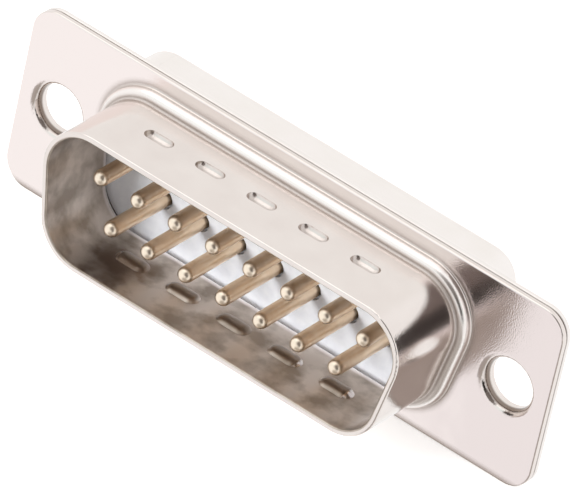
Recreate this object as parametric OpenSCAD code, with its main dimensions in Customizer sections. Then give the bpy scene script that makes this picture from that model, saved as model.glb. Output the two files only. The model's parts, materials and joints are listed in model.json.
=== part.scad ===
// D-subminiature plug: two drawn sheet shells clamp two moulded insulators and a double row of pins.
// Drawn lying on its back, mating side up, then stood up: +X along the flange, +Z to the wide row,
// and the mating side towards -Y. The origin is the middle of the flange's front face.

/* [Contact rows] */
// Pins in the wide row, the narrow row has one fewer
wide_row = 8; // [5:1:13]
// Distance from pin to pin along a row
pitch = 2.77; // [2.7:0.01:2.9]
// Distance between the two rows
row_gap = 2.84; // [2.7:0.01:3]

/* [Shell opening] */
// From the last pin of the wide row to the inside of the shell's end
end_room = 2.93; // [2.7:0.01:3.3]
// Height inside the shell
opening_h = 8.36; // [8:0.01:9]
// Corner radius inside the shell
corner_r = 2.6; // [2:0.1:3]
// Slope of the shell's ends
end_slope = 10; // [6:1:14]

/* [Shell sheet] */
// Thickness of both shells' sheet
sheet = 0.4; // [0.3:0.01:0.5]
// Reach of the shell in front of the flange
shell_reach = 6.2; // [5.5:0.05:6.5]
// Rounding of the shell's front lip
lip_round = 0.12; // [0.05:0.01:0.14]
// Height of the step round the foot of the shell
step_h = 0.7; // [0.65:0.01:1]
// Width of that step
step_w = 0.6; // [0.6:0.01:0.8]
// Hollow fillet between the shell's wall and the step
wall_fillet = 0.15; // [0.1:0.01:0.35]
// Rounding of the step's edge
step_round = 0.45; // [0.15:0.01:0.45]
// Hollow fillet between the step and the flange
foot_fillet = 0.15; // [0.1:0.01:0.25]

/* [Flange] */
// From the last pin of the wide row to the mounting hole
hole_beyond_pin = 6.965; // [6.6:0.005:7.4]
// From the mounting hole to the flange's end
flange_end = 2.91; // [2.8:0.01:3.6]
// Height of the flange
flange_h = 12.4; // [11.8:0.05:13]
// Corner radius of the flange
flange_corner = 1.7; // [1:0.1:2.6]
// Rounding of the cut edges
edge_round = 0.12; // [0.05:0.01:0.14]

/* [Mounting holes] */
// Clear diameter of the mounting holes
hole_d = 3.2; // [2.9:0.05:3.4]
// Rounding at the mouth of each hole
hole_mouth = 0.5; // [0.2:0.01:0.6]
// Wall of the collar that is drawn through the rear shell
collar_wall = 0.35; // [0.25:0.01:0.4]
// How far the collar is rolled over behind the rear shell
collar_roll = 0.5; // [0.35:0.01:0.6]
// Thickness of the rolled rim
collar_rim = 0.3; // [0.2:0.01:0.35]

/* [Shell dimples] */
// Distance between dimples
dimple_pitch = 3.8; // [3.2:0.1:4.6]
// Length of a dimple
dimple_l = 2; // [1.4:0.1:2.4]
// Width of a dimple
dimple_w = 0.9; // [0.7:0.05:1.1]
// Depth of a dimple
dimple_depth = 0.35; // [0.2:0.01:0.4]
// Height of the dimples above the flange
dimple_height = 3; // [2.3:0.1:3.6]
// Share of the sheet that is left over a dimple
dimple_stock = 0.85; // [0.7:0.05:1]

/* [Rear tray] */
// Depth of the rear tray behind its own flange
tray_depth = 3.4; // [3:0.05:4]
// How much higher the tray is inside than the shell's opening, above and below
tray_spread = 0.78; // [0.7:0.01:0.95]
// How much wider it is inside than the opening, at each end
tray_end_spread = 0.68; // [0.6:0.01:0.9]
// Corner radius inside the tray
tray_corner = 1.6; // [1.6:0.1:3]
// Hollow fillet between the rear flange and the tray
tray_fillet = 0.3; // [0.2:0.01:0.4]
// Rounding round the tray's back
tray_round = 0.8; // [0.5:0.05:1]
// Width of the rim round the tray's back window
back_rim = 1.05; // [0.9:0.01:1.1]

/* [Insulators] */
// Depth of the front insulator's face below the flange's front face
face_depth = 0; // [0:0.01:0.2]
// Depth of the ledge that the front shell's bend holds
ledge_depth = 0.25; // [0.22:0.01:0.4]
// Depth of the joint between the two insulators
split_depth = 1.6; // [1.4:0.05:2]
// Reach of the rear insulator's block behind the tray
block_reach = 1.1; // [0.6:0.05:1.6]
// Chamfer round the block's back, and at the contact holes there
mould_chamfer = 0.2; // [0.1:0.01:0.3]
// Gap between a moulding and the sheet round it
seat_gap = 0.05; // [0.03:0.01:0.1]

/* [Contacts] */
// Diameter of a pin
pin_d = 1.02; // [0.9:0.01:1.1]
// Reach of a pin in front of the flange
pin_reach = 5.3; // [4.8:0.05:5.6]
// Diameter of the collar that the insulators trap
shoulder_d = 2; // [1.8:0.05:2.2]
// Thickness of that collar
shoulder_l = 1; // [0.7:0.05:1.2]
// Outer diameter of the barrel and solder cup
barrel_d = 1.56; // [1.4:0.02:1.7]
// Bore of the solder cup
cup_bore = 1.04; // [0.9:0.02:1.1]
// Depth of the solder cup's bore
cup_depth = 2.1; // [1.6:0.1:2.6]
// Length over which the cup is cut open
cup_open = 1.5; // [1:0.1:1.8]
// Reach of a contact behind the flange's front face
tail_reach = 7.6; // [7:0.1:9]
// Gap round a pin in its hole
pin_gap = 0.02; // [0.01:0.005:0.03]
// Diameter of the moulded recess round a pin's foot
recess_d = 1.32; // [1.2:0.02:1.6]
// Depth of that recess
recess_depth = 0.35; // [0.2:0.01:0.45]

/* [Hidden] */
$fn = 72;
weld = 0.2; // how far a bent strip runs on into the plate that it belongs to
hair = 0.001; // how much thinner a straight run is drawn than the corners that it joins
lap = 0.02; // how far it runs into them, and how far a cut runs past what it cuts off
shy = 1; // degrees round a corner at which the first flat of a hidden edge starts
flats = 6; // flats that such an edge has round a corner

contact_count = 2 * wide_row - 1;
row_l = (wide_row - 1) * pitch;
opening_w = row_l + 2 * end_room;
hole_x = row_l / 2 + hole_beyond_pin;
flange_l = 2 * (hole_x + flange_end);

// Offsets from the shell's inner face, measured outwards
step_face = sheet + step_w;
step_inside = step_face - sheet;
foot_end = step_face + foot_fillet;
step_edge = min(step_round, step_w - wall_fillet, step_h - foot_fillet);
front_fit = step_inside - seat_gap;
bend_depth = min(ledge_depth, sheet);
bend_inside = foot_end - sqrt(pow(foot_fillet + sheet, 2) - pow(foot_fillet + bend_depth, 2));
ledge_fit = bend_inside - seat_gap;

// Offsets from the tray's inner face, measured outwards
tray_foot = sheet + tray_fillet;
tray_back_edge = sheet - tray_round;
block_fit = -back_rim - seat_gap;

// Levels, measured towards the mating side from the flange's front face
rear_face = -sheet;
flange_back = -2 * sheet;
tray_back = flange_back - tray_depth;
tray_seat = tray_back + sheet;
block_back = tray_back - block_reach;
shoulder_top = -split_depth + shoulder_l / 2;
shoulder_back = -split_depth - shoulder_l / 2;

hole_r = hole_d / 2;
collar_r = hole_r + collar_wall;
pin_r = pin_d / 2;
barrel_r = barrel_d / 2;
shoulder_r = shoulder_d / 2;

// The pressing tool's radius for a dimple, and how far its centre lies off the wall
press_r = (dimple_w * dimple_w / 4 + dimple_depth * dimple_depth) / (2 * dimple_depth);
press_off = press_r - dimple_depth;

// Corner centres of an outline, each with the angles where its arc starts and ends, anticlockwise.
// The half width is the upper side's, and the ends lean inwards below it by the slope
function corners_of(half_w, half_h, r, slope) = let (
    wide = half_w - r,
    high = half_h - r,
    narrow = wide - 2 * high * tan(slope)
) [
    [narrow, -high, -90, -slope],
    [wide, high, -slope, 90],
    [-wide, high, 90, 180 + slope],
    [-narrow, -high, 180 + slope, 270]
];
shell_corners = corners_of(opening_w / 2, opening_h / 2, corner_r, end_slope);
tray_corners = corners_of(opening_w / 2 + tray_end_spread, opening_h / 2 + tray_spread, tray_corner, end_slope);
flange_corners = corners_of(flange_l / 2, flange_h / 2, flange_corner, 0);

// As many dimples as the narrow wall's straight run takes
dimple_side = floor((shell_corners[0][0] - dimple_l / 2) / dimple_pitch);

function padded(n) = n < 10 ? str("0", n) : str(n);
function contact_name(i) = str("pin_", padded(i + 1));
function contact_place(i) = i < wide_row
    ? [(i - (wide_row - 1) / 2) * pitch, row_gap / 2]
    : [(i - wide_row - (wide_row - 2) / 2) * pitch, -row_gap / 2];

// Stands the drawing up, so that its top faces -Y
module stood_up() {
    rotate([90, 0, 0]) children();
}

// Carries a section round a closed outline: the first child turns through each corner, and the
// second, the same section drawn a hair thinner, runs a little way into the corners at its ends
module around(corners, r) {
    for (i = [0 : len(corners) - 1]) {
        here = corners[i];
        next = corners[(i + 1) % len(corners)];
        run = norm([next[0] - here[0], next[1] - here[1]]);
        translate([here[0], here[1], 0]) {
            rotate(here[2])
                rotate_extrude(angle = here[3] - here[2])
                    translate([r, 0]) children(0);
            rotate(here[3])
                translate([r, run + lap, 0])
                    rotate([90, 0, 0])
                        linear_extrude(run + 2 * lap) children(1);
        }
    }
}

// A plate of such an outline, from its lowest to its highest level
module slab(corners, r, low, high) {
    translate([0, 0, low])
        linear_extrude(high - low) {
            polygon([for (c = corners) for (a = [c[2], c[3]]) [c[0] + r * cos(a), c[1] + r * sin(a)]]);
            for (c = corners)
                translate([c[0], c[1]]) circle(r);
        }
}

// The same with its corners in short flats, for an edge that stays hidden inside a bent strip. No
// flat starts on the line where a corner of the strip ends
module hidden_slab(corners, r, low, high) {
    translate([0, 0, low])
        linear_extrude(high - low)
            polygon([
                for (c = corners)
                    for (k = [0 : flats])
                        let (a = c[2] + shy + (c[3] - c[2] - 2 * shy) * k / flats)
                            [c[0] + r * cos(a), c[1] + r * sin(a)]
            ]);
}

// A rectangle of a section, from its lowest to its highest corner
module bar(x0, y0, x1, y1) {
    polygon([[x0, y0], [x1, y0], [x1, y1], [x0, y1]]);
}

// A quarter bend of the sheet, whose hollow side faces outwards and up
module bend(x, y, r, thin) {
    reach = r + sheet;
    translate([x, y])
        intersection() {
            difference() {
                circle(reach - thin);
                circle(r + thin);
            }
            translate([-reach, -reach]) square(reach);
        }
}

// The waste at a rounded corner, with the corner's tip outwards and up
module corner_waste(x, y, r) {
    translate([x - r, y - r])
        difference() {
            square(2 * r);
            circle(r);
        }
}

// The cut edge of a plate, rounded on both sides, with its tip at x = 0
module cut_edge(low, thin) {
    bar(-2 * edge_round, low + edge_round, -thin, low + sheet - edge_round);
    for (y = [low + edge_round, low + sheet - edge_round])
        translate([-edge_round, y]) circle(edge_round - thin);
}

module flange_plate(low) {
    slab(flange_corners, flange_corner - edge_round, low, low + sheet);
    around(flange_corners, flange_corner) {
        cut_edge(low, 0);
        cut_edge(low, hair);
    }
}

// Section of the front shell: lip, wall, step and the bend down to the flange
module front_section(thin) {
    wall_foot = step_h + wall_fillet;
    lip_y = shell_reach - lip_round;
    bar(thin, wall_foot, sheet - thin, lip_y);
    bar(lip_round, wall_foot, sheet - lip_round, shell_reach - thin);
    for (x = [lip_round, sheet - lip_round])
        translate([x, lip_y]) circle(lip_round - thin);
    bend(sheet + wall_fillet, wall_foot, wall_fillet, thin);
    difference() {
        union() {
            bar(sheet + wall_fillet, step_h - sheet + thin, step_face - thin, step_h - thin);
            bar(step_inside + thin, foot_fillet, step_face - thin, step_h - step_edge / 2);
        }
        corner_waste(step_face - thin, step_h - thin, step_edge - thin);
    }
    bend(foot_end, foot_fillet, foot_fillet, thin);
    bar(foot_end, rear_face + thin, foot_end + weld, -thin);
}

// Section of the rear shell: bend, tray wall, rounded back and the rim of its window
module rear_section(thin) {
    wall_top = flange_back - tray_fillet;
    wall_end = tray_back + tray_round;
    bar(tray_foot, flange_back + thin, tray_foot + weld, rear_face - thin);
    mirror([0, 1])
        bend(tray_foot, -wall_top, tray_fillet, thin);
    bar(thin, wall_end, sheet - thin, wall_top);
    translate([tray_back_edge, wall_end])
        intersection() {
            difference() {
                circle(tray_round - thin);
                circle(tray_round - sheet + thin);
            }
            bar(0, -tray_round, tray_round, 0);
        }
    bar(-back_rim, tray_back + thin, tray_back_edge, tray_seat - thin);
}

// A pressed dimple's rounded bar, lying along a wall
module press(r) {
    half = (dimple_l - dimple_w) / 2;
    rotate([0, 90, 0]) cylinder(h = 2 * half, r = r, center = true);
    for (side = [-1, 1])
        translate([side * half, 0, 0]) sphere(r);
}

// Puts its children at every dimple, with +Y out of the wall and the wall's outside at y = 0
module at_dimples() {
    for (wall = [0, 1])
        mirror([0, wall, 0])
            for (i = [-dimple_side : dimple_side])
                translate([i * dimple_pitch, opening_h / 2 + sheet, dimple_height]) children();
}

module dimple_bump() {
    reach = press_r + sheet * dimple_stock;
    intersection() {
        translate([0, press_off, 0]) press(reach);
        translate([-dimple_l, -2 * reach, -reach]) cube([2 * dimple_l, 2 * reach - sheet / 2, 2 * reach]);
    }
}

// Puts its children at both mounting holes
module at_holes() {
    for (side = [-1, 1])
        translate([side * hole_x, 0, 0]) children();
}

// The collar of a mounting hole: tube through the rear shell, rolled rim behind it
module hole_collar() {
    rim_r = collar_r + collar_roll;
    rim_back = flange_back - collar_rim;
    rotate_extrude() {
        bar(hole_r, flange_back, collar_r, 0);
        difference() {
            bar(hole_r, rim_back, rim_r, flange_back);
            mirror([0, 1]) corner_waste(rim_r, -rim_back, collar_rim / 2);
            rotate(180) corner_waste(-hole_r, -rim_back, collar_rim / 2);
        }
    }
}

module front_shell() {
    color("gainsboro")
        stood_up()
            difference() {
                union() {
                    around(shell_corners, corner_r) {
                        front_section(0);
                        front_section(hair);
                    }
                    difference() {
                        flange_plate(rear_face);
                        hidden_slab(shell_corners, corner_r + foot_end + weld / 2, rear_face - weld, weld);
                        at_holes() cylinder(h = 4 * sheet, r = collar_r, center = true);
                    }
                    at_holes() hole_collar();
                    at_dimples() dimple_bump();
                }
                at_dimples() translate([0, press_off, 0]) press(press_r);
                at_holes()
                    rotate_extrude()
                        mirror([1, 0]) corner_waste(-hole_r, 0, hole_mouth);
            }
}

module rear_shell() {
    color("silver")
        stood_up() {
            around(tray_corners, tray_corner) {
                rear_section(0);
                rear_section(hair);
            }
            difference() {
                flange_plate(flange_back);
                hidden_slab(tray_corners, tray_corner + tray_foot + weld / 2,
                    flange_back - weld, rear_face + weld);
                at_holes()
                    translate([0, 0, flange_back - weld])
                        cylinder(h = sheet + 2 * weld, r = collar_r + pin_gap);
            }
        }
}

// Puts its children at every contact
module at_contacts() {
    for (i = [0 : contact_count - 1])
        translate(contact_place(i)) children();
}

module front_insulator() {
    color("aliceblue")
        stood_up()
            difference() {
                union() {
                    slab(shell_corners, corner_r + front_fit, -ledge_depth, -face_depth);
                    intersection() {
                        slab(shell_corners, corner_r + ledge_fit, -split_depth, -ledge_depth);
                        slab(tray_corners, tray_corner - seat_gap, -split_depth - weld, -ledge_depth + weld);
                    }
                }
                at_contacts() {
                    translate([0, 0, -split_depth - weld])
                        cylinder(h = split_depth + 2 * weld, r = pin_r + pin_gap);
                    translate([0, 0, -face_depth - recess_depth])
                        cylinder(h = recess_depth + weld, d = recess_d);
                    translate([0, 0, -split_depth - weld])
                        cylinder(h = shoulder_l / 2 + weld, r = shoulder_r + seat_gap);
                }
            }
}

// Section of the waste outside the chamfer round the block's back
module block_edge_waste(thin) {
    polygon([
        [block_fit - mould_chamfer - lap + thin, block_back - lap],
        [block_fit + lap, block_back + mould_chamfer + lap - thin],
        [block_fit + lap, block_back - lap]
    ]);
}

module rear_insulator() {
    hole_r = barrel_r + pin_gap;
    color("aliceblue")
        stood_up()
            difference() {
                union() {
                    slab(tray_corners, tray_corner - seat_gap, tray_back + tray_round, -split_depth);
                    slab(tray_corners, tray_corner + tray_back_edge, tray_seat, -split_depth);
                    slab(tray_corners, tray_corner + block_fit, block_back, -split_depth);
                }
                around(tray_corners, tray_corner) {
                    block_edge_waste(0);
                    block_edge_waste(hair);
                }
                at_contacts() {
                    translate([0, 0, shoulder_back])
                        cylinder(h = shoulder_l, r = shoulder_r + seat_gap);
                    translate([0, 0, block_back - weld])
                        cylinder(h = -block_back, r = hole_r);
                    translate([0, 0, block_back - mould_chamfer])
                        cylinder(h = 2 * mould_chamfer, r1 = hole_r + 2 * mould_chamfer, r2 = hole_r);
                }
            }
}

// Half section of a contact: round tip, shaft, trapped collar, barrel
module contact_section() {
    bar(0, shoulder_top, pin_r, pin_reach - pin_r);
    bar(0, shoulder_back, shoulder_r, shoulder_top);
    bar(0, -tail_reach, barrel_r, shoulder_back);
    intersection() {
        translate([0, pin_reach - pin_r]) circle(pin_r);
        bar(0, 0, pin_r, pin_reach);
    }
}

// One contact, with its solder cup opened away from the other row
module contact(i) {
    out = i < wide_row ? 1 : -1;
    color("goldenrod")
        stood_up()
            translate(contact_place(i))
                difference() {
                    rotate_extrude() contact_section();
                    translate([0, 0, -tail_reach - weld])
                        cylinder(h = cup_depth + weld, d = cup_bore);
                    rotate([90, 0, 90])
                        linear_extrude(2 * barrel_d, center = true)
                            polygon([
                                [0, -tail_reach - weld],
                                [0, -tail_reach + cup_open],
                                [out * barrel_d, -tail_reach + cup_open + barrel_d],
                                [out * barrel_d, -tail_reach - weld]
                            ]);
                }
}

front_shell();
rear_shell();
front_insulator();
rear_insulator();
for (i = [0 : contact_count - 1])
    contact(i);
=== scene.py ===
import json
import math
import bpy
from mathutils import Matrix, Vector


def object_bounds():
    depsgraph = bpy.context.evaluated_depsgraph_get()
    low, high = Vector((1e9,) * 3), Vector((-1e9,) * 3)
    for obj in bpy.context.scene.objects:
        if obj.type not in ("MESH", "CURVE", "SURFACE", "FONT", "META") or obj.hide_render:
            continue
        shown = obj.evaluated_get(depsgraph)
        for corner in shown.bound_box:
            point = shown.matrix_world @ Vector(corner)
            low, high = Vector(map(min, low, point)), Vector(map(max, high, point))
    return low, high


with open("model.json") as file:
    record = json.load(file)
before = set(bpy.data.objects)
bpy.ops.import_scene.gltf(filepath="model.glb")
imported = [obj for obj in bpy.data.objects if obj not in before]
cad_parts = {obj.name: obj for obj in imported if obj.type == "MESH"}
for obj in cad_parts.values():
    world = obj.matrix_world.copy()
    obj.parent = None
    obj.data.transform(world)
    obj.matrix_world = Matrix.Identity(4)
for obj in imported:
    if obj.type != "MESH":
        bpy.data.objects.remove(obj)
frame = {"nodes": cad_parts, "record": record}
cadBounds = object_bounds()
nodes = frame["nodes"]
print("frame loaded:", len(nodes), "nodes")

mm = 0.001  # sizes are written in millimetres and turned to metres
white = (1, 1, 1, 1)


# Colours, nodes and materials

def linearColour(code):  # sRGB hex to Blender's linear colour
    channels = [int(code[i:i + 2], 16) / 255 for i in (1, 3, 5)]
    linear = [c / 12.92 if c <= 0.04045 else ((c + 0.055) / 1.055) ** 2.4 for c in channels]
    return (*linear, 1)


# A setting is a property of the node, the value of a socket, or a colour ramp's two stops
def addNode(tree, kind, settings=None, links=None):
    node = tree.nodes.new(kind)
    for name, value in (settings or {}).items():
        if name == "stops":
            for element, (position, code) in zip(node.color_ramp.elements, value):
                element.position = position
                element.color = linearColour(code)
        elif isinstance(name, str) and hasattr(node, name):
            setattr(node, name, value)
        else:
            node.inputs[name].default_value = value
    for socket, source in (links or {}).items():
        tree.links.new(source, node.inputs[socket])
    return node


def newMaterial(name):
    material = bpy.data.materials.new(name)
    material.use_nodes = True
    material.node_tree.nodes.clear()
    return material, material.node_tree


def setMaterial(material, *names):
    for name in names:
        mesh = nodes[name].data
        mesh.materials.clear()
        mesh.materials.append(material)


# Where a point of the object lies, and masks made from that

def placeInMm(tree):
    metres = addNode(tree, "ShaderNodeTexCoord").outputs["Object"]
    return addNode(tree, "ShaderNodeVectorMath", {"operation": "SCALE", "Scale": 1 / mm},
                   {0: metres}).outputs[0]


# A fade is its source, the source's value where the mask is 0, and its value where it is 1
def maskWhere(tree, *fades):
    mask = None
    for source, none, full in fades:
        fade = addNode(tree, "ShaderNodeMapRange", {
            "interpolation_type": "SMOOTHSTEP", "From Min": none, "From Max": full,
        }, {"Value": source}).outputs["Result"]
        if mask is None:
            mask = fade
        else:
            mask = addNode(tree, "ShaderNodeMath", {"operation": "MULTIPLY"},
                           {0: mask, 1: fade}).outputs[0]
    return mask


def band(source, limits):  # fades in over the first two of four limits, out over the last two
    return (source, limits[0], limits[1]), (source, limits[3], limits[2])


# Electro-tinned steel sheet, deep drawn: pale, faintly warm metal. It mirrors softly where the
# tool stretched it and keeps the sheet's fine speckle where it stayed flat. Inside it is duller,
# painted darker as shade and stained at random. The dimples' backs inside carry painted shadow.
# Two limits are where something starts and where it is full. Four depths are where it starts,
# is full, begins to go and is gone

drawnTin = {
    "name": "electroTinnedSteelDeepDrawn",
    # the walls, in patches
    "colour": "#F0E8E3",
    "dullColour": "#EBE2DD",
    "roughness": 0.108,
    "dullRoughness": 0.138,
    "mottleMm": 2.4,
    "mottleRange": (0.3, 0.7),
    # the flange's front face, with painted shade over its right end
    "flatColour": "#F9EFEC",
    "flatRoughness": 0.15,
    "flatFacing": (-0.8, -0.98),  # Y of the surface's normal
    "flatDepthMm": (-0.2, -0.05),
    "hazeColour": "#EDE2E0",
    "hazeMm": (12, 20),  # along X
    "hazeRaggedMm": 9.0,
    # the inside, painted darker as shade, with random stains and painted shade in its lower left
    # corner
    "insideColour": "#D9CDC2",
    "insideRoughness": 0.34,
    "insideWallMm": (-0.5, -1.5),  # from the axis to the wall, below 0 where it faces the axis
    "insideDepthMm": (-0.05, -0.3),
    "stainColour": "#A79A8D",
    "stainMm": 1.9,
    "stainRange": (0.36, 0.56),
    # painted shade in the inside's lower left corner, round a middle point
    "cornerStainColour": "#6E5A4C",
    "cornerStain": (-7.9, -4.3, -4.2),
    "cornerStainMm": (4.5, 2.0),  # from its middle
    "cornerStainRaggedMm": 3.0,
    # painted shadow on the dimples' backs inside, painted shade in the mounting holes' mouths,
    # the crease, and a painted highlight on the step at the walls' foot
    "rubbedColour": "#988A7E",
    "rubbedFromMiddleMm": (4.12, 3.96),
    "rubbedAlongMm": (9.4, 9.0),
    "rubbedDepthMm": (-3.7, -3.5, -2.5, -2.3),
    # painted shade in the mounting holes' bores
    "boreColour": "#90837A",
    "boreReachMm": (0.16, 0.02),  # beyond the hole's radius
    "boreDepthMm": (-0.2, -0.1, 0.5, 0.7),
    "creaseColour": "#F2EAE5",
    "creaseRoughness": 0.48,
    "creaseDepthMm": (-1.05, -0.8, -0.7, -0.6),
    # painted highlight: the step is painted brighter than the walls
    "stepColour": "#FBF5F1",
    "stepRoughness": 0.27,
    "stepDepthMm": (-0.7, -0.62, -0.12, -0.02),
    # painted shade and grime in narrow places, by how open they are: the colour is painted darker
    # as shade, and the roughness rises with grime
    "grimeColour": "#9C8D83",
    "grimeRoughness": 0.5,
    "grimeReachMm": 0.55,
    "grimeOpenness": (0.95, 0.58),
    # the sheet's speckle, 0.02 to 0.04 mm in the real sheet, drawn coarser so that it shows
    "grainMm": 0.09,
    "grainDepthMm": 0.01,
    "wallGrain": 0.55,
    "flatGrain": 1.0,
}

# The same plating on the rear shell, which is drawn less deep: brighter, and satin all over
satinTin = dict(
    drawnTin, name="electroTinnedSteelSatin", colour="#FDF8F5", dullColour="#F9F4F0",
    flatColour="#FBF5F2", roughness=0.324, dullRoughness=0.414, flatRoughness=0.36)


def tinAreas(tree, place, finish):  # masks of the places on a shell that look different
    holes = next(mount["dims"] for mount in frame["record"]["mounts"]
                 if mount["name"] == "flange_holes")
    depth = addNode(tree, "ShaderNodeSeparateXYZ", links={0: place}).outputs["Y"]
    normal = addNode(tree, "ShaderNodeNewGeometry").outputs["Normal"]
    facing = addNode(tree, "ShaderNodeSeparateXYZ", links={0: normal}).outputs["Y"]
    across = addNode(tree, "ShaderNodeVectorMath", {"operation": "MULTIPLY", 1: (1, 0, 1)},
                     {0: place}).outputs[0]
    outward = addNode(tree, "ShaderNodeVectorMath", {"operation": "DOT_PRODUCT"},
                      {0: across, 1: normal}).outputs["Value"]
    quarter = addNode(tree, "ShaderNodeVectorMath", {"operation": "ABSOLUTE"},
                      {0: across}).outputs[0]  # one quarter of the shell stands for all four
    fromMiddle = addNode(tree, "ShaderNodeSeparateXYZ", links={0: quarter}).outputs
    fromHole = addNode(tree, "ShaderNodeVectorMath", {
        "operation": "DISTANCE", 1: (holes["spacing_x_mm"] / 2, 0, 0),
    }, {0: quarter}).outputs["Value"]
    openness = addNode(tree, "ShaderNodeAmbientOcclusion", {
        "samples": 6, "Distance": finish["grimeReachMm"] * mm}).outputs["AO"]
    mouth = [holes["hole_r_mm"] + reach for reach in finish["boreReachMm"]]
    return {
        "inside": maskWhere(tree, (outward, *finish["insideWallMm"]),
                            (depth, *finish["insideDepthMm"])),
        "flat": maskWhere(tree, (facing, *finish["flatFacing"]),
                          (depth, *finish["flatDepthMm"])),
        # painted shadow on the dimples' backs inside
        "rubbed": maskWhere(tree, (fromMiddle["X"], *finish["rubbedAlongMm"]),
                            (fromMiddle["Z"], *finish["rubbedFromMiddleMm"]),
                            *band(depth, finish["rubbedDepthMm"])),
        # painted shade in the mounting holes' bores
        "bore": maskWhere(tree, (fromHole, *mouth), *band(depth, finish["boreDepthMm"])),
        "crease": maskWhere(tree, *band(depth, finish["creaseDepthMm"])),
        # painted highlight on the step
        "step": maskWhere(tree, *band(depth, finish["stepDepthMm"])),
        # painted shade and grime in narrow places
        "grime": maskWhere(tree, (openness, *finish["grimeOpenness"])),
    }


def tinColour(tree, place, finish, areas, mottle, stain):
    walls = addNode(tree, "ShaderNodeValToRGB", {
        "stops": zip(finish["mottleRange"], (finish["dullColour"], finish["colour"])),
    }, {"Fac": mottle}).outputs["Color"]
    # the inside's colour, painted darker as shade, with random stains
    insideShade = addNode(tree, "ShaderNodeValToRGB", {
        "stops": zip(finish["stainRange"], (finish["stainColour"], finish["insideColour"])),
    }, {"Fac": stain}).outputs["Color"]

    # the painted shade over the flange's right end and the painted shade in the inside's corner
    # fade out raggedly
    along = addNode(tree, "ShaderNodeSeparateXYZ", links={0: place}).outputs["X"]
    shadeAlong = addNode(tree, "ShaderNodeMath", {
        "operation": "MULTIPLY_ADD", 1: finish["hazeRaggedMm"]}, {0: stain, 2: along}).outputs[0]
    flat = addNode(tree, "ShaderNodeMix", {
        "data_type": "RGBA", 6: linearColour(finish["flatColour"]),
        7: linearColour(finish["hazeColour"]),
    }, {0: maskWhere(tree, (shadeAlong, *finish["hazeMm"]))}).outputs[2]
    # painted shade in the inside's lower left corner
    away = addNode(tree, "ShaderNodeVectorMath", {
        "operation": "DISTANCE", 1: finish["cornerStain"]}, {0: place}).outputs["Value"]
    cornerShadeReach = addNode(tree, "ShaderNodeMath", {
        "operation": "MULTIPLY_ADD", 1: finish["cornerStainRaggedMm"]}, {0: stain, 2: away})
    corner = maskWhere(tree, (cornerShadeReach.outputs[0], *finish["cornerStainMm"]))

    inner = insideShade
    # painted shade in the inside's corner and painted shadow on the dimples' backs
    for mask, layer in ((corner, "cornerStainColour"), (areas["rubbed"], "rubbedColour")):
        inner = addNode(tree, "ShaderNodeMix", {
            "data_type": "RGBA", 7: linearColour(finish[layer])}, {0: mask, 6: inner}).outputs[2]
    outer = addNode(tree, "ShaderNodeMix", {"data_type": "RGBA"},
                    {0: areas["flat"], 6: walls, 7: flat}).outputs[2]
    colour = addNode(tree, "ShaderNodeMix", {"data_type": "RGBA"},
                     {0: areas["inside"], 6: outer, 7: inner}).outputs[2]
    # painted shade in narrow places and in the holes' bores, and a painted highlight on the step
    for area in ("crease", "grime", "step", "bore"):
        colour = addNode(tree, "ShaderNodeMix", {
            "data_type": "RGBA", 7: linearColour(finish[area + "Colour"]),
        }, {0: areas[area], 6: colour}).outputs[2]
    return colour


def tinRoughness(tree, finish, areas, mottle):
    roughness = addNode(tree, "ShaderNodeMix", {
        2: finish["dullRoughness"], 3: finish["roughness"],
    }, {0: maskWhere(tree, (mottle, *finish["mottleRange"]))}).outputs[0]
    for area in ("crease", "flat", "inside", "grime", "step"):
        roughness = addNode(tree, "ShaderNodeMix", {3: finish[area + "Roughness"]},
                            {0: areas[area], 2: roughness}).outputs[0]
    return roughness


def tinPlate(finish):
    material, tree = newMaterial(finish["name"])
    place = placeInMm(tree)
    areas = tinAreas(tree, place, finish)
    mottle, stain, grain = [
        addNode(tree, "ShaderNodeTexNoise", {"Scale": 1 / finish[size], "Detail": detail},
                {"Vector": place}).outputs["Fac"]
        for size, detail in (("mottleMm", 3.0), ("stainMm", 4.0), ("grainMm", 1.0))]
    colour = tinColour(tree, place, finish, areas, mottle, stain)
    roughness = tinRoughness(tree, finish, areas, mottle)
    strength = addNode(tree, "ShaderNodeMix", {2: finish["wallGrain"], 3: finish["flatGrain"]},
                       {0: areas["flat"]}).outputs[0]
    bump = addNode(tree, "ShaderNodeBump", {"Distance": finish["grainDepthMm"] * mm},
                   {"Height": grain, "Strength": strength}).outputs["Normal"]
    surface = addNode(tree, "ShaderNodeBsdfPrincipled", {"Metallic": 1.0},
                      {"Base Color": colour, "Roughness": roughness, "Normal": bump})
    addNode(tree, "ShaderNodeOutputMaterial", links={"Surface": surface.outputs["BSDF"]})
    return material


setMaterial(tinPlate(drawnTin), "front_shell")
setMaterial(tinPlate(satinTin), "rear_shell")
print("shells done")


# Glass-filled polyester, injection moulded: matt, nearly white with a cold tinge, and slightly
# rough to the touch from the mould's eroded face

polyester = {
    "colour": "#EFF2F7",
    "shadeColour": "#E6E9F0",
    "roughness": 0.5,
    "mottleMm": 0.8,
    "mottleRange": (0.35, 0.65),
    "grainMm": 0.12,  # about 0.03 mm in the real moulding, drawn coarser so that it shows
    "grainDepthMm": 0.003,
    "grainStrength": 0.5,
}


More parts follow.
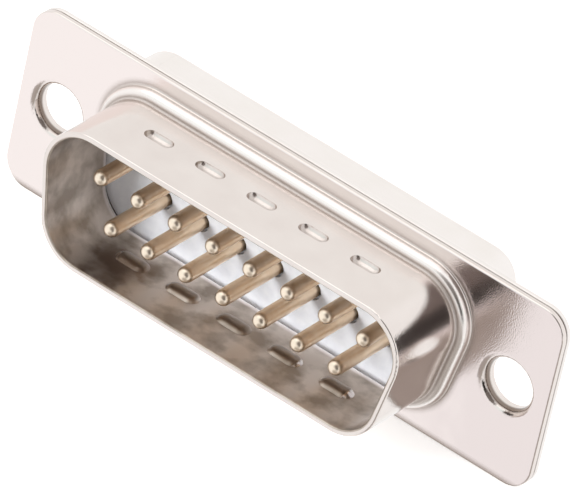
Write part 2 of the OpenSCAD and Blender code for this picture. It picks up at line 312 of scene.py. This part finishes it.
def mouldedPolyester():
    material, tree = newMaterial("glassFilledPolyesterMoulded")
    place = placeInMm(tree)
    mottle, grain = [
        addNode(tree, "ShaderNodeTexNoise", {"Scale": 1 / polyester[size], "Detail": detail},
                {"Vector": place}).outputs["Fac"]
        for size, detail in (("mottleMm", 3.0), ("grainMm", 2.0))]
    colour = addNode(tree, "ShaderNodeValToRGB", {
        "stops": zip(polyester["mottleRange"], (polyester["shadeColour"], polyester["colour"])),
    }, {"Fac": mottle}).outputs["Color"]
    bump = addNode(tree, "ShaderNodeBump", {
        "Strength": polyester["grainStrength"], "Distance": polyester["grainDepthMm"] * mm,
    }, {"Height": grain}).outputs["Normal"]
    surface = addNode(tree, "ShaderNodeBsdfPrincipled", {"Roughness": polyester["roughness"]},
                      {"Base Color": colour, "Normal": bump})
    addNode(tree, "ShaderNodeOutputMaterial", links={"Surface": surface.outputs["BSDF"]})
    return material


setMaterial(mouldedPolyester(), "front_insulator", "rear_insulator")
print("insulators done")


# Gold flash over nickel on turned brass: satin, pale and slightly brown, with fine turning
# rings. Its rounded tips are painted paler as a highlight, and deep in the solder cups it is
# painted dark as shade

gold = {
    "colour": "#EFD8BC",
    "wornColour": "#EACFAF",
    "roughness": 0.3,
    "mottleMm": 0.7,
    "mottleRange": (0.35, 0.65),
    # painted highlight: the rounded tips are painted paler
    "tipColour": "#FFF0DC",
    "tipDepthMm": (-4.75, -5.05),
    # painted shade deep in the solder cups, by how open they are
    "cupColour": "#8F7350",
    "cupReachMm": 1.2,
    "cupOpenness": (0.55, 0.15),
    "ringMm": 0.06,  # about 0.03 mm in the real contact, drawn coarser so that it shows
    "ringDepthMm": 0.0008,
    "ringStrength": 0.3,
    "ringWobble": 0.6,
}


def platedBrass():
    material, tree = newMaterial("goldFlashOnTurnedBrass")
    place = placeInMm(tree)
    depth = addNode(tree, "ShaderNodeSeparateXYZ", links={0: place}).outputs["Y"]
    mottle = addNode(tree, "ShaderNodeTexNoise", {"Scale": 1 / gold["mottleMm"], "Detail": 2.0},
                     {"Vector": place}).outputs["Fac"]
    openness = addNode(tree, "ShaderNodeAmbientOcclusion", {
        "samples": 6, "Distance": gold["cupReachMm"] * mm}).outputs["AO"]
    colour = addNode(tree, "ShaderNodeValToRGB", {
        "stops": zip(gold["mottleRange"], (gold["wornColour"], gold["colour"])),
    }, {"Fac": mottle}).outputs["Color"]
    # painted highlight on the tips and painted shade deep in the solder cups
    for layer, fade in (("tipColour", (depth, *gold["tipDepthMm"])),
                        ("cupColour", (openness, *gold["cupOpenness"]))):
        colour = addNode(tree, "ShaderNodeMix", {
            "data_type": "RGBA", 7: linearColour(gold[layer]),
        }, {0: maskWhere(tree, fade), 6: colour}).outputs[2]
    rings = addNode(tree, "ShaderNodeTexWave", {
        "wave_type": "BANDS", "bands_direction": "Y", "Scale": 1 / gold["ringMm"] / math.tau,
        "Distortion": gold["ringWobble"],
    }, {"Vector": place}).outputs["Fac"]
    bump = addNode(tree, "ShaderNodeBump", {
        "Strength": gold["ringStrength"], "Distance": gold["ringDepthMm"] * mm,
    }, {"Height": rings}).outputs["Normal"]
    surface = addNode(tree, "ShaderNodeBsdfPrincipled", {
        "Metallic": 1.0, "Roughness": gold["roughness"],
    }, {"Base Color": colour, "Normal": bump})
    addNode(tree, "ShaderNodeOutputMaterial", links={"Surface": surface.outputs["BSDF"]})
    return material


setMaterial(platedBrass(), *[name for name in nodes if name.startswith("pin_")])
print("contacts done")


# Camera, at the photograph's angle: nearly parallel, from the right and from above, and tipped.
# Its angles are in degrees, and its lengths in millimetres

cameraView = {
    "azimuth": 30.71,
    "elevation": 34.42,
    "roll": 12.84,
    "target": (0.737, 0, 0.331),
    "distance": 542.25,
    "pixelsPerMm": 17.427,
    "frameWidth": 580,  # pixels
    "sensor": 36,
    "clip": (10, 10000),
}


def makeCamera():
    azimuth, elevation, roll = [
        math.radians(cameraView[angle]) for angle in ("azimuth", "elevation", "roll")]
    back = Vector((math.sin(azimuth) * math.cos(elevation),
                   -math.cos(azimuth) * math.cos(elevation),
                   math.sin(elevation)))
    right = Vector((math.cos(azimuth), math.sin(azimuth), 0))
    up = back.cross(right)
    across = right * math.cos(roll) + up * math.sin(roll)
    upright = up * math.cos(roll) - right * math.sin(roll)
    camera = bpy.data.objects.new("camera", bpy.data.cameras.new("camera"))
    bpy.context.scene.collection.objects.link(camera)
    place = (Vector(cameraView["target"]) + back * cameraView["distance"]) * mm
    turned = Matrix((across, upright, back)).transposed().to_4x4()
    camera.matrix_world = Matrix.Translation(place) @ turned
    camera.data.sensor_width = cameraView["sensor"]
    camera.data.lens = (cameraView["distance"] * cameraView["pixelsPerMm"]
                        * cameraView["sensor"] / cameraView["frameWidth"])
    camera.data.clip_start, camera.data.clip_end = [length * mm for length in cameraView["clip"]]
    bpy.context.scene.camera = camera


makeCamera()
print("camera done")


# Studio: a pale floor, two soft lamps and an even pale world. Metal mirrors what stands round
# it, so mirrored and refracted rays see patches of the world as the things in surroundings

studio = {
    "floorColour": "#F4F2F0",
    "floorSizeMm": 900,
    "floorGlow": 0.5,
    "worldColour": "#FFFCFA",
    "worldStrength": 0.72,
    "lampDistanceMm": 300,
    "lampSizeMm": 130,
}

lamps = [  # one into the shell's mouth from the front left, and one for the back
    {"name": "frontLamp", "towards": (-0.5, -0.8, 0.33), "watts": 1.0},
    {"name": "backLamp", "towards": (0.5, 0.75, 0.45), "watts": 0.4},
]

# Each has its direction, its linear colour and the cosines at which it starts and is full. The
# room and the opening give the right of the shell and its lip their dark patches
surroundings = [
    {"name": "softboxOverhead", "towards": (-0.42, -0.23, 0.88), "cosines": (0.86, 0.94),
     "level": (1.4, 1.39, 1.38)},
    {"name": "paleWallBehind", "towards": (-0.42, 0.71, 0.565), "cosines": (0.8, 0.95),
     "level": (0.95, 0.945, 0.935)},
    {"name": "coolFillFrontLeft", "towards": (-0.42, -0.71, 0.565), "cosines": (0.93, 0.98),
     "level": (0.96, 1.02, 1.02)},
    {"name": "greyCardLow", "towards": (0.28, -0.68, -0.68), "cosines": (0.85, 0.92),
     "level": (0.42, 0.385, 0.355)},
    {"name": "dimRoomFrontRight", "towards": (0.42, -0.71, 0.565), "cosines": (0.84, 0.93),
     "level": (0.19, 0.165, 0.155)},
    {"name": "darkOpeningRight", "towards": (0.69, -0.71, 0.12), "cosines": (0.925, 0.975),
     "level": (0.035, 0.03, 0.028)},
]


def rayKinds(tree):  # 1 for mirrored and refracted rays, and 1 for those and the camera's own
    path = addNode(tree, "ShaderNodeLightPath").outputs
    mirrored = addNode(tree, "ShaderNodeMath", {"operation": "MAXIMUM"}, {
        0: path["Is Glossy Ray"], 1: path["Is Transmission Ray"]}).outputs[0]
    seen = addNode(tree, "ShaderNodeMath", {"operation": "MAXIMUM"}, {
        0: path["Is Camera Ray"], 1: mirrored}).outputs[0]
    return mirrored, seen


def makeFloor():
    half = studio["floorSizeMm"] * mm / 2
    low = cadBounds[0].z
    corners = [(-half, -half, low), (half, -half, low), (half, half, low), (-half, half, low)]
    mesh = bpy.data.meshes.new("floor")
    mesh.from_pydata(corners, [], [(0, 1, 2, 3)])
    floor = bpy.data.objects.new("floor", mesh)
    bpy.context.scene.collection.objects.link(floor)
    material, tree = newMaterial("paintedFloor")
    seen = rayKinds(tree)[1]
    paint = addNode(tree, "ShaderNodeBsdfDiffuse", {"Color": linearColour(studio["floorColour"])})
    glow = addNode(tree, "ShaderNodeMath", {"operation": "MULTIPLY", 1: studio["floorGlow"]},
                   {0: seen})
    light = addNode(tree, "ShaderNodeEmission", {"Color": white}, {"Strength": glow.outputs[0]})
    both = addNode(tree, "ShaderNodeAddShader", links={0: paint.outputs[0], 1: light.outputs[0]})
    addNode(tree, "ShaderNodeOutputMaterial", links={"Surface": both.outputs[0]})
    mesh.materials.append(material)
    floor.visible_glossy = False  # else rough metal mirrors its own shadow, not the surroundings


def makeWorld():
    world = bpy.data.worlds.new("studio")
    bpy.context.scene.world = world
    world.use_nodes = True
    tree = world.node_tree
    tree.nodes.clear()
    mirrored, seen = rayKinds(tree)
    direction = addNode(tree, "ShaderNodeTexCoord").outputs["Generated"]
    colour = addNode(tree, "ShaderNodeRGB").outputs[0]
    colour.default_value = white
    for thing in surroundings:
        cosine = addNode(tree, "ShaderNodeVectorMath", {
            "operation": "DOT_PRODUCT", 1: thing["towards"]}, {0: direction}).outputs["Value"]
        colour = addNode(tree, "ShaderNodeMix", {
            "label": thing["name"], "data_type": "RGBA", 7: (*thing["level"], 1),
        }, {0: maskWhere(tree, (cosine, *thing["cosines"])), 6: colour}).outputs[2]
    backdrop = addNode(tree, "ShaderNodeMix", {"data_type": "RGBA", 6: white},
                       {0: mirrored, 7: colour}).outputs[2]
    light = addNode(tree, "ShaderNodeBackground", {
        "Color": linearColour(studio["worldColour"]), "Strength": studio["worldStrength"]})
    picture = addNode(tree, "ShaderNodeBackground", {"Strength": 1.0}, {"Color": backdrop})
    shown = addNode(tree, "ShaderNodeMixShader", links={
        0: seen, 1: light.outputs[0], 2: picture.outputs[0]})
    addNode(tree, "ShaderNodeOutputWorld", links={"Surface": shown.outputs[0]})


def makeLamps():
    for entry in lamps:
        lamp = bpy.data.objects.new(entry["name"], bpy.data.lights.new(entry["name"], "AREA"))
        bpy.context.scene.collection.objects.link(lamp)
        towards = Vector(entry["towards"]).normalized()
        turned = towards.to_track_quat("Z", "Y").to_matrix().to_4x4()
        lamp.matrix_world = Matrix.Translation(towards * studio["lampDistanceMm"] * mm) @ turned
        lamp.data.size = studio["lampSizeMm"] * mm
        lamp.data.energy = entry["watts"]
        lamp.visible_glossy = False  # the surroundings already hold what metal mirrors


makeFloor()
makeWorld()
makeLamps()
bpy.context.scene.view_settings.view_transform = "Standard"
print("studio done")
